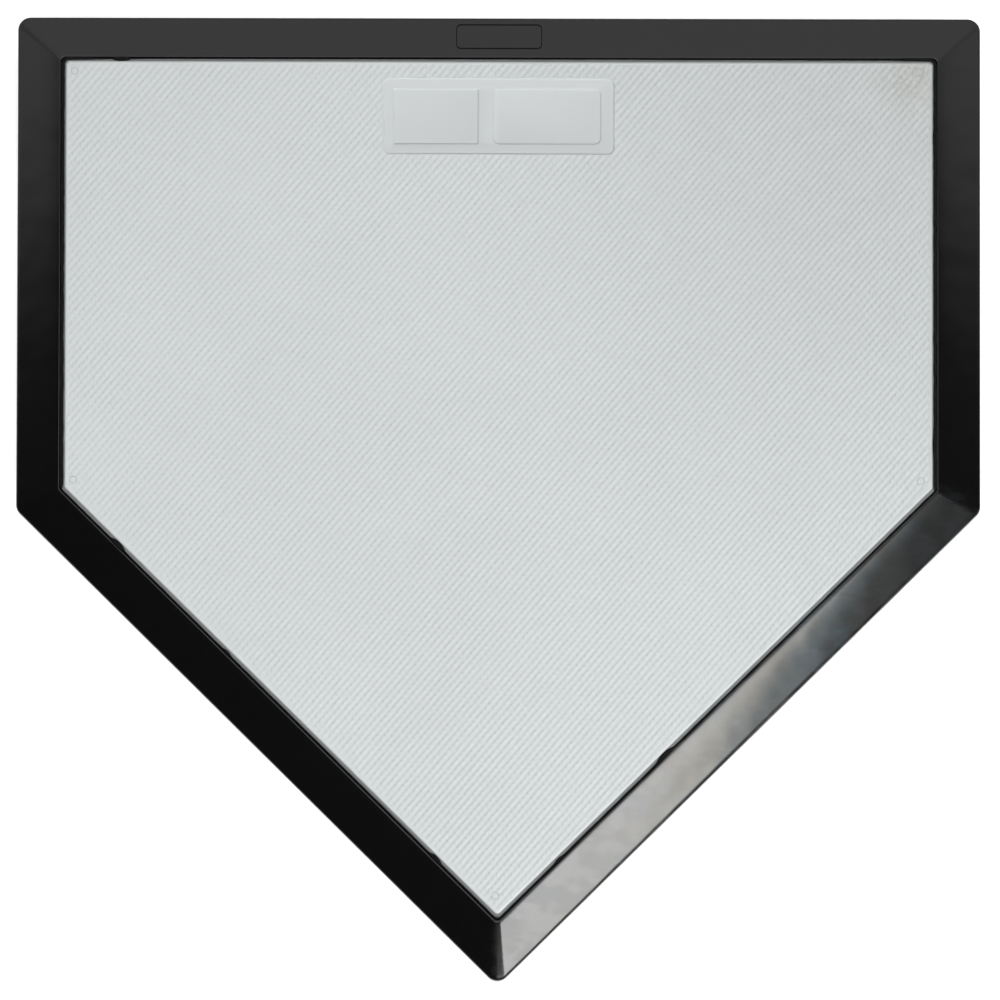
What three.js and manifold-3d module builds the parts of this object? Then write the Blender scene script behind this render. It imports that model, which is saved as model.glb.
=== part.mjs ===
import * as THREE from 'three';
import { mergeVertices } from 'three/addons/utils/BufferGeometryUtils.js';
import Module from 'manifold-3d';

const wasm = await Module();
wasm.setup();

// All sizes are in millimetres. +Z is up, the straight front edge faces +Y and the point faces -Y.

// Playing surface: a square with two corners cut off, measured round the top of the white slab.
const plateWidth = 431.8;
const plateDepth = 431.8;
const plateSide = 215.9;

// White slab: a leaning wall above the seam, and a flange held under the black lip.
const slabThickness = 25.4;
const slabWallLean = 1.6;
const slabWallHeight = 2.6;
const slabEdgeRadius = 1.2;
const slabCornerRadius = 2;
const flangeCornerRadius = 4;

// Smooth panel sunk into the front of the slab, with two deeper bare windows.
const panelWidth = 115.4;
const panelDepth = 39;
const panelSetback = 8.3;
const panelSink = 0.6;
const panelCornerRadius = 3.2;
const windowSink = 0.6;
const windowDepth = 28.7;
const leftWindowMargin = 4.7;
const leftWindowWidth = 43;
const leftWindowCornerRadius = 1;
const rightWindowMargin = 6.6;
const rightWindowWidth = 54.2;
const rightWindowCornerRadius = 3;

// Black surround: lip, bevel and rim above the ground line, skirt below it.
const borderWidth = 24.2;
const lipDrop = 2.8;
const lipThickness = 6;
const lipRadius = 1.1;
const lipCornerRadius = 2.4;
const bevelDrop = 7;
const rimHeight = 7;
const rimRadius = 1.5;
const rimCornerRadius = 6.5;
const rimOverhang = 8;
const rimFillet = 2;
const skirtThickness = 8;
const skirtLean = 1;
const skirtFoot = 1;
const skirtCornerRadius = 5;
const cavityCornerRadius = 4;

// Core boards, side by side from the front edge to the slanted edges.
const boardCount = 5;
const boardThickness = 38.1;
const boardGap = 1;
const boardEase = 2.5;

// Pan-head screws with washers, in counterbores round the skirt.
const sideScrews = 2;
const tipSetback = 34;
const screwDiameter = 4.8;
const screwLength = 38;
const screwPoint = 6;
const screwHeadDiameter = 9.4;
const screwHeadHeight = 3.3;
const washerDiameter = 19;
const washerThickness = 1.4;
const counterboreDepth = 3;

// Clearances between pieces.
const seamGap = 0.3;
const boardClearance = 0.5;
const screwClearance = 0.3;
const counterboreClearance = 0.75;

// How finely round stretches are divided.
const cornerSteps = 6;
const edgeSteps = 3;
const screwSides = 10;
const boreSides = 16;

const tipDepth = plateDepth - plateSide;
const topLevel = boardThickness + slabThickness;
const lipLevel = topLevel - lipDrop;
const lipUnderside = lipLevel - lipThickness;
const rimTop = lipLevel - bevelDrop;
const rimUnderside = rimTop - rimHeight;
const lipOffset = slabWallLean + seamGap;
const skirtOffset = borderWidth - rimOverhang;
const cavityOffset = skirtOffset - skirtThickness;
const coreOffset = cavityOffset - boardClearance;
const coreWidth = plateWidth + 2 * coreOffset;
const screwLevel = boardThickness / 2;
const screwHole = screwDiameter + 2 * screwClearance;
const counterboreFloor = skirtThickness - counterboreDepth;
const washerSeat = counterboreFloor + seamGap;
const headSeat = washerSeat + washerThickness + seamGap;
const screwTip = headSeat - screwLength;

const whiteRubber = new THREE.MeshStandardMaterial({ color: '#d4d8d8', roughness: 0.75, metalness: 0 });
const blackRubber = new THREE.MeshStandardMaterial({ color: '#161617', roughness: 0.3, metalness: 0 });
const pine = new THREE.MeshStandardMaterial({ color: '#b7975f', roughness: 0.8, metalness: 0 });
const zincSteel = new THREE.MeshStandardMaterial({ color: '#b4b8bb', roughness: 0.35, metalness: 1 });

// The pentagon's corners, counter-clockwise from the front right, with the side corners at y = 0.
const cornerPoints = [
  new THREE.Vector2(plateWidth / 2, plateSide),
  new THREE.Vector2(-plateWidth / 2, plateSide),
  new THREE.Vector2(-plateWidth / 2, 0),
  new THREE.Vector2(0, -tipDepth),
  new THREE.Vector2(plateWidth / 2, 0),
];

function outwardNormal(from, to) {
  const along = to.clone().sub(from).normalize();
  return new THREE.Vector2(along.y, -along.x);
}

const corners = cornerPoints.map((point, i) => {
  const before = cornerPoints.at(i - 1);
  const after = cornerPoints[(i + 1) % cornerPoints.length];
  return { point, normalIn: outwardNormal(before, point), normalOut: outwardNormal(point, after) };
});

// The pentagon moved outwards by an offset, with its corners rounded.
function pentagon(offset, radius) {
  return corners.flatMap(({ point, normalIn, normalOut }) => {
    const mitre = normalIn.clone().add(normalOut).divideScalar(1 + normalIn.dot(normalOut));
    const centre = point.clone().addScaledVector(mitre, offset - radius);
    const sweep = Math.acos(normalIn.dot(normalOut));
    return Array.from({ length: cornerSteps + 1 }, (_, step) => {
      const angle = normalIn.angle() + (sweep * step) / cornerSteps;
      return new THREE.Vector2(Math.cos(angle), Math.sin(angle)).multiplyScalar(radius).add(centre);
    });
  });
}

// Rounds an edge of a profile from one angle to another. A profile's x is the offset and its y the height.
function roundEdge(centre, radius, fromAngle, toAngle, cornerRadius) {
  return Array.from({ length: edgeSteps + 1 }, (_, step) => {
    const angle = fromAngle + ((toAngle - fromAngle) * step) / edgeSteps;
    return {
      offset: centre.x + radius * Math.cos(angle),
      height: centre.y + radius * Math.sin(angle),
      cornerRadius,
    };
  });
}

// Skins a run of pentagons. A ring joins its last section to its first, and a slab is capped at both ends.
function loft(sections, isRing) {
  const rings = sections.map(({ offset, height, cornerRadius }) =>
    pentagon(offset, cornerRadius).map(({ x, y }) => [x, y, height]));
  const count = rings[0].length;
  const index = [];
  const bands = isRing ? rings.length : rings.length - 1;
  for (let band = 0; band < bands; band++) {
    const low = band * count;
    const high = ((band + 1) % rings.length) * count;
    for (let i = 0; i < count; i++) {
      const next = (i + 1) % count;
      index.push(low + i, low + next, high + next, low + i, high + next, high + i);
    }
  }
  if (!isRing) {
    const top = (rings.length - 1) * count;
    for (let i = 1; i < count - 1; i++) {
      index.push(0, i + 1, i, top, top + i, top + i + 1);
    }
  }
  const geometry = new THREE.BufferGeometry();
  geometry.setAttribute('position', new THREE.Float32BufferAttribute(rings.flat(2), 3));
  geometry.setIndex(index);
  return geometry;
}

// A closed mesh as a solid that can be cut and joined, and back again.
function toSolid(geometry) {
  const bare = geometry.clone();
  bare.deleteAttribute('normal');
  bare.deleteAttribute('uv');
  const merged = mergeVertices(bare);
  return new wasm.Manifold(new wasm.Mesh({
    numProp: 3,
    vertProperties: merged.getAttribute('position').array,
    triVerts: new Uint32Array(merged.getIndex().array),
  }));
}

function toGeometry(solid) {
  const { vertProperties, triVerts } = solid.getMesh();
  const geometry = new THREE.BufferGeometry();
  geometry.setAttribute('position', new THREE.BufferAttribute(vertProperties, 3));
  geometry.setIndex(new THREE.BufferAttribute(triVerts, 1));
  return geometry;
}

function roundedRectangle(left, bottom, width, depth, radius) {
  const right = left + width;
  const top = bottom + depth;
  const shape = new THREE.Shape();
  shape.absarc(right - radius, bottom + radius, radius, -Math.PI / 2, 0);
  shape.absarc(right - radius, top - radius, radius, 0, Math.PI / 2);
  shape.absarc(left + radius, top - radius, radius, Math.PI / 2, Math.PI);
  shape.absarc(left + radius, bottom + radius, radius, Math.PI, Math.PI * 1.5);
  return shape;
}

// A pocket cutter that sinks an outline into the top face.
function pocket(shape, sink) {
  const overshoot = slabEdgeRadius;
  const geometry = new THREE.ExtrudeGeometry(shape, {
    depth: sink + overshoot,
    bevelEnabled: false,
    curveSegments: cornerSteps,
  });
  geometry.translate(0, 0, topLevel - sink);
  return toSolid(geometry);
}

// The slab, drawn in above its flange, with the sunken panel at the front.
function makeWhiteTop() {
  const flangeOffset = cavityOffset - seamGap;
  const flangeTop = lipUnderside - seamGap;
  const seamLevel = topLevel - slabWallHeight;
  const edgeCentre = new THREE.Vector2(-slabEdgeRadius, topLevel - slabEdgeRadius);
  const slab = loft([
    { offset: flangeOffset, height: boardThickness, cornerRadius: flangeCornerRadius },
    { offset: flangeOffset, height: flangeTop, cornerRadius: flangeCornerRadius },
    { offset: slabWallLean, height: flangeTop, cornerRadius: slabCornerRadius },
    { offset: slabWallLean, height: seamLevel, cornerRadius: slabCornerRadius },
    ...roundEdge(edgeCentre, slabEdgeRadius, 0, Math.PI / 2, slabCornerRadius),
  ], false);

  const panelLeft = -panelWidth / 2;
  const panelBottom = plateSide - panelSetback - panelDepth;
  const windowBottom = panelBottom + (panelDepth - windowDepth) / 2;
  const leftWindowLeft = panelLeft + leftWindowMargin;
  const rightWindowLeft = panelLeft + panelWidth - rightWindowMargin - rightWindowWidth;
  const panel = roundedRectangle(panelLeft, panelBottom, panelWidth, panelDepth, panelCornerRadius);
  const leftWindow = roundedRectangle(
    leftWindowLeft, windowBottom, leftWindowWidth, windowDepth, leftWindowCornerRadius);
  const rightWindow = roundedRectangle(
    rightWindowLeft, windowBottom, rightWindowWidth, windowDepth, rightWindowCornerRadius);
  return toGeometry(toSolid(slab)
    .subtract(pocket(panel, panelSink))
    .subtract(pocket(leftWindow, panelSink + windowSink))
    .subtract(pocket(rightWindow, panelSink + windowSink)));
}

// Where the screws go: a place on the cavity wall and the way that the wall faces. Each board is held at its
// front end and at its slanted end, and the outer boards along their sides too.
function wallSites() {
  const onWall = (x, y, normal) => ({
    place: new THREE.Vector2(x, y).addScaledVector(normal, cavityOffset),
    normal,
  });
  const boardPitch = coreWidth / boardCount;
  const centres = Array.from({ length: boardCount }, (_, i) => (i + 0.5) * boardPitch - coreWidth / 2);
  const [front, left, leftSlant, rightSlant, right] = corners.map(({ normalOut }) => normalOut);
  const slantY = (x) => tipDepth * (x / (plateWidth / 2) - 1);
  const sideYs = Array.from({ length: sideScrews }, (_, i) => (plateSide * (i + 0.5)) / sideScrews);
  const slantXs = centres.slice(Math.floor(boardCount / 2)).map((x) => Math.max(x, tipSetback));
  return {
    front: centres.map((x) => onWall(x, plateSide, front)),
    left: sideYs.map((y) => onWall(-plateWidth / 2, y, left)),
    right: sideYs.map((y) => onWall(plateWidth / 2, y, right)),
    left_slant: slantXs.map((x) => onWall(-x, slantY(x), leftSlant)),
    right_slant: slantXs.map((x) => onWall(x, slantY(x), rightSlant)),
  };
}

const sites = wallSites();

// Places a shape made along +Y so that it points out of the wall, at a distance out from the cavity.
function aimOutwards(object, { place, normal }, distance) {
  object.position.set(place.x + normal.x * distance, place.y + normal.y * distance, screwLevel);
  object.quaternion.setFromUnitVectors(new THREE.Vector3(0, 1, 0), new THREE.Vector3(normal.x, normal.y, 0));
  object.updateMatrix();
  return object;
}

// A round cutter at a site, from one distance out of the cavity wall to another.
function bore(site, diameter, from, to) {
  const cylinder = new THREE.CylinderGeometry(diameter / 2, diameter / 2, to - from, boreSides);
  const placed = aimOutwards(new THREE.Object3D(), site, (from + to) / 2);
  return toSolid(cylinder.applyMatrix4(placed.matrix));
}

// One profile carried round the pentagon: up the skirt, round the rim, over the bevel and lip, and down
// the hollow.
function makeBlackSurround() {
  const lipCentre = new THREE.Vector2(lipOffset + lipRadius, lipLevel - lipRadius);
  const rimCentre = new THREE.Vector2(borderWidth - rimRadius, rimTop - rimRadius);
  const lowRimCentre = new THREE.Vector2(borderWidth - rimRadius, rimUnderside + rimRadius);
  const filletCentre = new THREE.Vector2(skirtOffset + rimFillet, rimUnderside - rimFillet);
  const bevelNormal = lipCentre.clone().sub(rimCentre).angle() - Math.PI / 2;
  const ring = loft([
    { offset: skirtOffset - skirtLean, height: skirtFoot, cornerRadius: skirtCornerRadius },
    ...roundEdge(filletCentre, rimFillet, Math.PI, Math.PI / 2, skirtCornerRadius),
    ...roundEdge(lowRimCentre, rimRadius, -Math.PI / 2, 0, rimCornerRadius),
    ...roundEdge(rimCentre, rimRadius, 0, bevelNormal, rimCornerRadius),
    ...roundEdge(lipCentre, lipRadius, bevelNormal, Math.PI, lipCornerRadius),
    { offset: lipOffset, height: lipUnderside, cornerRadius: lipCornerRadius },
    { offset: cavityOffset, height: lipUnderside, cornerRadius: cavityCornerRadius },
    { offset: cavityOffset, height: 0, cornerRadius: cavityCornerRadius },
    { offset: skirtOffset - skirtLean - skirtFoot, height: 0, cornerRadius: skirtCornerRadius },
  ], true);
  const boreDiameter = washerDiameter + 2 * counterboreClearance;
  return toGeometry(Object.values(sites).flat().reduce((solid, site) => solid
    .subtract(bore(site, screwHole, -skirtThickness, 2 * skirtThickness))
    .subtract(bore(site, boreDiameter, counterboreFloor, 2 * skirtThickness)), toSolid(ring)));
}

// A length of stock with eased long edges, cut to the hollow's outline and drilled for the screws.
function makeBoards() {
  const hollow = toSolid(loft([0, boardThickness].map((height) => (
    { offset: coreOffset, height, cornerRadius: cavityCornerRadius })), false));
  const pilots = Object.values(sites).flat()
    .map((site) => bore(site, screwHole, screwTip - screwClearance, skirtThickness))
    .reduce((all, hole) => all.add(hole));
  const boardWidth = (coreWidth - (boardCount - 1) * boardGap) / boardCount;
  const stockLength = plateDepth + 4 * borderWidth;
  const section = roundedRectangle(0, 0, boardWidth, boardThickness, boardEase);
  return Array.from({ length: boardCount }, (_, i) => {
    const stock = new THREE.ExtrudeGeometry(section, {
      depth: stockLength,
      bevelEnabled: false,
      curveSegments: edgeSteps,
    });
    stock.rotateX(Math.PI / 2);
    stock.translate(i * (boardWidth + boardGap) - coreWidth / 2, plateSide + 2 * borderWidth, 0);
    return toGeometry(toSolid(stock).intersect(hollow).subtract(pilots));
  });
}

// A screw along Y with its head above y = 0 and its point below.
function makeScrew() {
  const shank = screwDiameter / 2;
  const head = screwHeadDiameter / 2;
  return new THREE.LatheGeometry([
    new THREE.Vector2(0, -screwLength),
    new THREE.Vector2(shank, screwPoint - screwLength),
    new THREE.Vector2(shank, 0),
    new THREE.Vector2(head, 0),
    new THREE.Vector2(head, screwHeadHeight / 2),
    new THREE.Vector2(head - screwHeadHeight / 2, screwHeadHeight),
    new THREE.Vector2(0, screwHeadHeight),
  ], screwSides);
}

function makeWasher() {
  const inner = screwHole / 2;
  const outer = washerDiameter / 2;
  return new THREE.LatheGeometry([
    new THREE.Vector2(inner, 0),
    new THREE.Vector2(outer, 0),
    new THREE.Vector2(outer, washerThickness),
    new THREE.Vector2(inner, washerThickness),
    new THREE.Vector2(inner, 0),
  ], boreSides);
}

const plate = new THREE.Group();

function addPiece(name, geometry, material) {
  const piece = new THREE.Mesh(geometry, material);
  piece.name = name;
  plate.add(piece);
  return piece;
}

addPiece('white_top', makeWhiteTop(), whiteRubber);
addPiece('black_surround', makeBlackSurround(), blackRubber);
makeBoards().forEach((board, i) => addPiece(`core_board_${i + 1}`, board, pine));
for (const [wall, places] of Object.entries(sites)) {
  places.forEach((site, i) => {
    aimOutwards(addPiece(`${wall}_screw_${i + 1}`, makeScrew(), zincSteel), site, headSeat);
    aimOutwards(addPiece(`${wall}_washer_${i + 1}`, makeWasher(), zincSteel), site, washerSeat);
  });
}

// The origin is below the middle of the outer edge.
const rimReach = pentagon(borderWidth, rimCornerRadius).map(({ y }) => y);
plate.position.y = -(Math.min(...rimReach) + Math.max(...rimReach)) / 2;

export default plate;
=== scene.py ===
import math

import bmesh
import bpy
import numpy as np
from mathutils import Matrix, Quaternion, Vector


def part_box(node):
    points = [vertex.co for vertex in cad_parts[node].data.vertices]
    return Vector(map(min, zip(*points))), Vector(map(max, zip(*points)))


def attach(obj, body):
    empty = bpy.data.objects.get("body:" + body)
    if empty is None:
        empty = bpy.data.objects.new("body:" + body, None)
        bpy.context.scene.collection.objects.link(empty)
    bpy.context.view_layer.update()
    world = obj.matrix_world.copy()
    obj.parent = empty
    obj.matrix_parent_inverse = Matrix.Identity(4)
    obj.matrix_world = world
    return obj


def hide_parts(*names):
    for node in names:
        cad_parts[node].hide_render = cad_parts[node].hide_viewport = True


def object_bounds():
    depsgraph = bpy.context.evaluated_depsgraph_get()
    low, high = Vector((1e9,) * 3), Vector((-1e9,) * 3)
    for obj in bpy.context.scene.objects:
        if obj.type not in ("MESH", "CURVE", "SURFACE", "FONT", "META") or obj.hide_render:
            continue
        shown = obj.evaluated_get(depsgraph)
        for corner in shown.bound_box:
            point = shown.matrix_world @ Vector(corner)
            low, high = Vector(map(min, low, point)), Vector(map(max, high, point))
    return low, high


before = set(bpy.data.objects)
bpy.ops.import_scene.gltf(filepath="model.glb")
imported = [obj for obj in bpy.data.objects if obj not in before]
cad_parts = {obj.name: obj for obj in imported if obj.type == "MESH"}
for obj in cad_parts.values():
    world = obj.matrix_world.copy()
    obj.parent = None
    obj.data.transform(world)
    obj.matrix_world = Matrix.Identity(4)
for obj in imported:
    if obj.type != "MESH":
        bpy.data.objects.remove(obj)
cadBox = [list(corner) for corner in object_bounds()]
scene = bpy.context.scene
mm = 0.001  # the dictionaries below are in millimetres, the scene is in metres

plate = {
    "width": 431.8, "depth": 431.8, "side": 215.9, "border": 24.2, "topLevel": 63.5,
    "walls": ("front", "left", "left_slant", "right_slant", "right"),  # in the order of the outline
}
plate["shift"] = cadBox[1][1] / mm - plate["side"] - plate["border"]  # the origin is under the middle


# Shapes that all the rubber pieces share

def outlineCorners():
    # the white face's corners, and the way out of the wall that starts at each
    half = plate["width"] / 2
    points = np.array([
        (half, plate["side"]), (-half, plate["side"]), (-half, 0),
        (0, plate["side"] - plate["depth"]), (half, 0),
    ]) + (0, plate["shift"])
    along = np.roll(points, -1, axis=0) - points
    normals = np.stack([along[:, 1], -along[:, 0]], axis=1)
    return points, normals / np.linalg.norm(normals, axis=1, keepdims=True)


def wallReach(places):
    # how far places lie outside each wall of the outline
    points, normals = outlineCorners()
    return np.array([(places - point) @ normal for point, normal in zip(points, normals)])


def outline(offset, radius, steps):
    # the pentagon moved outwards with rounded corners, counter-clockwise from the front right
    points, normals = outlineCorners()
    line = []
    for i, point in enumerate(points):
        before, after = normals[i - 1], normals[i]
        turn = before @ after
        centre = point + (before + after) / (1 + turn) * (offset - radius)
        start = math.atan2(before[1], before[0])
        for angle in start + np.linspace(0, math.acos(turn), steps + 1):
            line.append(centre + radius * np.array([math.cos(angle), math.sin(angle)]))
    return np.array(line)


def roundEdge(centre, radius, fromAngle, toAngle, cornerRadius, steps):
    # rows of offset, height and corner radius along an arc
    angles = np.linspace(fromAngle, toAngle, steps + 1)
    return [(centre[0] + radius * math.cos(angle), centre[1] + radius * math.sin(angle), cornerRadius)
            for angle in angles]


def skinRings(rings, isClosed):
    count = len(rings[0])
    faces = []
    for band in range(len(rings) if isClosed else len(rings) - 1):
        low, high = band * count, (band + 1) % len(rings) * count
        for i in range(count):
            after = (i + 1) % count
            faces.append((low + i, low + after, high + after, high + i))
    if not isClosed:
        faces.append(tuple(range(count))[::-1])
        faces.append(tuple((len(rings) - 1) * count + i for i in range(count)))
    return np.concatenate(rings), faces


def atHeight(line, height):
    return np.column_stack([line, np.full(len(line), height)])


def skinOutline(sections, isClosed, steps):
    return skinRings([atHeight(outline(offset, radius, steps), height)
                      for offset, height, radius in sections], isClosed)


def newPiece(name, points, faces, material=None):
    mesh = bpy.data.meshes.new(name)
    mesh.from_pydata((np.asarray(points) * mm).tolist(), [], faces)
    mesh.validate()
    piece = bpy.data.objects.new(name, mesh)
    scene.collection.objects.link(piece)
    if material:
        mesh.materials.append(material)
    return piece


def joinShapes(shapes):
    points, faces, start = [], [], 0
    for shapePoints, shapeFaces in shapes:
        points.append(shapePoints)
        faces += [tuple(start + i for i in face) for face in shapeFaces]
        start += len(shapePoints)
    return np.concatenate(points), faces


def freeze(piece):
    # the evaluated shape becomes a plain mesh, and no modifier stays
    mesh = bpy.data.meshes.new_from_object(piece.evaluated_get(bpy.context.evaluated_depsgraph_get()))
    old = piece.data
    piece.modifiers.clear()
    piece.data = mesh
    bpy.data.meshes.remove(old)
    mesh.name = piece.name
    return piece


def carve(piece, cutter, materials="INDEX"):
    cut = piece.modifiers.new("carve", "BOOLEAN")
    cut.operation, cut.solver, cut.object, cut.material_mode = "DIFFERENCE", "MANIFOLD", cutter, materials
    freeze(piece)
    dropPiece(cutter)
    return piece


def dropPiece(piece):
    mesh = piece.data
    bpy.data.objects.remove(piece)
    bpy.data.meshes.remove(mesh)


def smoothBy(piece, degrees):
    piece.data.shade_smooth()
    piece.data.set_sharp_from_angle(angle=math.radians(degrees))
    return piece


def readPlaces(items, name):
    places = np.empty(len(items) * 3)
    items.foreach_get(name, places)
    return places.reshape(-1, 3) / mm


def writeValues(mesh, name, values):
    mesh.attributes.new(name, "FLOAT", "POINT").data.foreach_set("value", values.astype(np.float32))


def roundedRectangle(left, bottom, width, depth, radius, steps):
    nearX, farX = left + radius, left + width - radius
    nearY, farY = bottom + radius, bottom + depth - radius
    line = []
    for x, y, start in ((farX, nearY, -90), (farX, farY, 0), (nearX, farY, 90), (nearX, nearY, 180)):
        for angle in np.radians(start + np.linspace(0, 90, steps + 1)):
            line.append((x + radius * math.cos(angle), y + radius * math.sin(angle)))
    return np.array(line)


def disc(x, y, radius, sides):
    angles = np.linspace(0, 2 * math.pi, sides, endpoint=False)
    return np.column_stack([x + radius * np.cos(angles), y + radius * np.sin(angles)])


def prism(line, low, high):
    return skinRings([atHeight(line, low), atHeight(line, high)], False)


# Node helpers, for materials and geometry alike

def setInputs(tree, node, feeds):
    # a feed is another node's output or a plain value
    for name, value in feeds.items():
        if isinstance(value, bpy.types.NodeSocket):
            tree.links.new(value, node.inputs[name])
        else:
            node.inputs[name].default_value = value


def addNode(tree, kind, feeds=None, **settings):
    node = tree.nodes.new(kind)
    for name, value in settings.items():
        setattr(node, name, value)
    setInputs(tree, node, feeds or {})
    return node


def addOut(tree, kind, feeds=None, **settings):
    # for a node of which only the first output is used
    return addNode(tree, kind, feeds, **settings).outputs[0]


def newMaterial(name):
    material = bpy.data.materials.new(name)
    material.use_nodes = True
    tree = material.node_tree
    place = addNode(tree, "ShaderNodeTexCoord").outputs["Object"]
    return material, tree, tree.nodes["Principled BSDF"], place


def addNoise(tree, place, scale, detail=2.0, roughness=0.5, distortion=0.0):
    return addNode(tree, "ShaderNodeTexNoise", {
        "Vector": place, "Scale": scale, "Detail": detail, "Roughness": roughness, "Distortion": distortion,
    }).outputs["Fac"]


def addRange(tree, value, fromLow, fromHigh, toLow=0.0, toHigh=1.0, kind="SMOOTHSTEP"):
    return addNode(tree, "ShaderNodeMapRange", {
        "Value": value, "From Min": fromLow, "From Max": fromHigh, "To Min": toLow, "To Max": toHigh,
    }, interpolation_type=kind).outputs["Result"]


def addRoughness(tree, noise, look):
    middle, spread = look["roughness"], look["spread"]
    return addRange(tree, noise, 0.3, 0.7, middle - spread, middle + spread)


def addMath(tree, operation, first, second):
    return addOut(tree, "ShaderNodeMath", {0: first, 1: second}, operation=operation)


def addVector(tree, operation, first, second):
    result = "Value" if operation in ("DOT_PRODUCT", "DISTANCE") else "Vector"
    return addNode(tree, "ShaderNodeVectorMath", {0: first, 1: second}, operation=operation).outputs[result]


def addMix(tree, share, first, second):
    first, second = [c if isinstance(c, bpy.types.NodeSocket) else (*c, 1.0) for c in (first, second)]
    return addNode(tree, "ShaderNodeMix", {0: share, 6: first, 7: second}, data_type="RGBA").outputs[2]


def addBump(tree, height, look, mark="grain", normal=None):
    feeds = {"Height": height, "Strength": look[mark + "Strength"], "Distance": look[mark + "Depth"] * mm}
    if normal is not None:
        feeds["Normal"] = normal
    return addNode(tree, "ShaderNodeBump", feeds).outputs["Normal"]


def stretch(tree, place, scale, location=(0, 0, 0), turn=(0, 0, 0)):
    return addOut(tree, "ShaderNodeMapping", {
        "Vector": place, "Scale": scale, "Location": location, "Rotation": turn})


def newTree(name, inputs):
    tree = bpy.data.node_groups.new(name, "GeometryNodeTree")
    for label, kind in inputs.items():
        tree.interface.new_socket(label, in_out="INPUT", socket_type="NodeSocket" + kind)
    tree.interface.new_socket("Geometry", in_out="OUTPUT", socket_type="NodeSocketGeometry")
    return tree, addNode(tree, "NodeGroupInput").outputs


def endTree(tree, geometry, material):
    real = addOut(tree, "GeometryNodeRealizeInstances", {"Geometry": geometry})
    painted = addOut(tree, "GeometryNodeSetMaterial", {"Geometry": real, "Material": material})
    addNode(tree, "NodeGroupOutput", {"Geometry": painted})


def growBy(piece, tree, values):
    # runs a tree on a piece and keeps what it makes
    modifier = piece.modifiers.new(tree.name, "NODES")
    modifier.node_group = tree
    sockets = {item.name: item.identifier for item in tree.interface.items_tree if item.in_out == "INPUT"}
    for label, value in values.items():
        modifier[sockets[label]] = value
    return freeze(piece)


# Finishes

whiteLook = {
    "pale": (0.675, 0.705, 0.711), "dull": (0.655, 0.685, 0.688),
    "blotchScale": 9.0, "speckScale": 900.0, "speckShare": 0.35,
    # handling marks at the front right, with the size of their grain and how much shows between
    "soil": (0.592, 0.618, 0.616), "soilAt": (216.0, 219.0), "soilReach": 310.0,
    "soilGrain": 70.0, "soilLeast": 0.8,
    "stain": (0.505, 0.515, 0.485), "stainAt": (206.0, 211.0), "stainReach": 26.0,
    "stainGrain": 420.0, "stainLeast": 0.25,
    # the sunken panel has no knurl, and painted shade darkens it; its depths
    "sunk": (0.640, 0.668, 0.673), "sunkFrom": 0.42, "sunkTo": 0.58,
    # the smooth rim, paler as a painted highlight, and the wall outside it, then black rubber rubbed in at
    # the seam with a ragged edge
    "rim": (0.715, 0.745, 0.750), "rimFrom": -1.2, "rimTo": -0.9,
    "wall": (0.200, 0.210, 0.212), "wallFrom": 0.0, "wallTo": 0.3,
    "smear": (0.034, 0.035, 0.036), "smearFrom": 1.3, "smearTo": 1.62, "rag": 0.1, "ragScale": 140.0,
    "mark": (0.420, 0.420, 0.390),  # dirt in the rings of the ejector marks
    "roughness": 0.52, "spread": 0.06, "rimRoughness": 0.16, "level": 0.4,
    "grainScale": 2200.0, "grainStrength": 0.05, "grainDepth": 0.2,
}


def makeWhiteRubber(look):
    material, tree, shader, place = newMaterial("white rubber")
    blotch = addNoise(tree, place, look["blotchScale"], 4.0, 0.6)
    speck = addNoise(tree, place, look["speckScale"])
    isMark, reach = [addNode(tree, "ShaderNodeAttribute", attribute_name=name).outputs["Fac"]
                     for name in ("mark", "reach")]
    face = addMix(tree, addRange(tree, blotch, 0.36, 0.64), look["dull"], look["pale"])
    face = addMix(tree, addRange(tree, speck, 0.62, 0.78, 0.0, look["speckShare"]), face, look["dull"])
    face = addMix(tree, isMark, face, look["mark"])
    # painted highlight: the rim is paler than the face
    isRim = addRange(tree, reach, look["rimFrom"], look["rimTo"])
    face = addMix(tree, isRim, face, look["rim"])
    for mark in ("soil", "stain"):
        spot = (*(mm * s for s in look[mark + "At"]), mm * plate["topLevel"])
        far = addVector(tree, "DISTANCE", place, spot)
        near = addRange(tree, far, 0.0, look[mark + "Reach"] * mm, 1.0, 0.0)
        grain = addNoise(tree, place, look[mark + "Grain"], 3.0)
        patchy = addRange(tree, grain, 0.35, 0.65, look[mark + "Least"], 1.0)
        face = addMix(tree, addMath(tree, "MULTIPLY", near, patchy), face, look[mark])
    # painted shade: the sunken panel is darker below these depths
    height = addNode(tree, "ShaderNodeSeparateXYZ", {0: place}).outputs["Z"]
    top = plate["topLevel"]
    isSunk = addRange(tree, height, (top - look["sunkTo"]) * mm, (top - look["sunkFrom"]) * mm, 1.0, 0.0)
    face = addMix(tree, isSunk, face, look["sunk"])
    rag = addRange(tree, addNoise(tree, place, look["ragScale"]), 0.3, 0.7, -look["rag"], look["rag"])
    ragged = addMath(tree, "ADD", reach, rag)
    face = addMix(tree, addRange(tree, reach, look["wallFrom"], look["wallTo"]), face, look["wall"])
    face = addMix(tree, addRange(tree, ragged, look["smearFrom"], look["smearTo"]), face, look["smear"])
    polish = addMath(tree, "MULTIPLY", isRim, look["rimRoughness"] - look["roughness"])
    setInputs(tree, shader, {
        "Base Color": face, "Roughness": addMath(tree, "ADD", addRoughness(tree, blotch, look), polish),
        "Specular IOR Level": look["level"],
        "Normal": addBump(tree, addNoise(tree, place, look["grainScale"]), look),
    })
    return material


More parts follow.
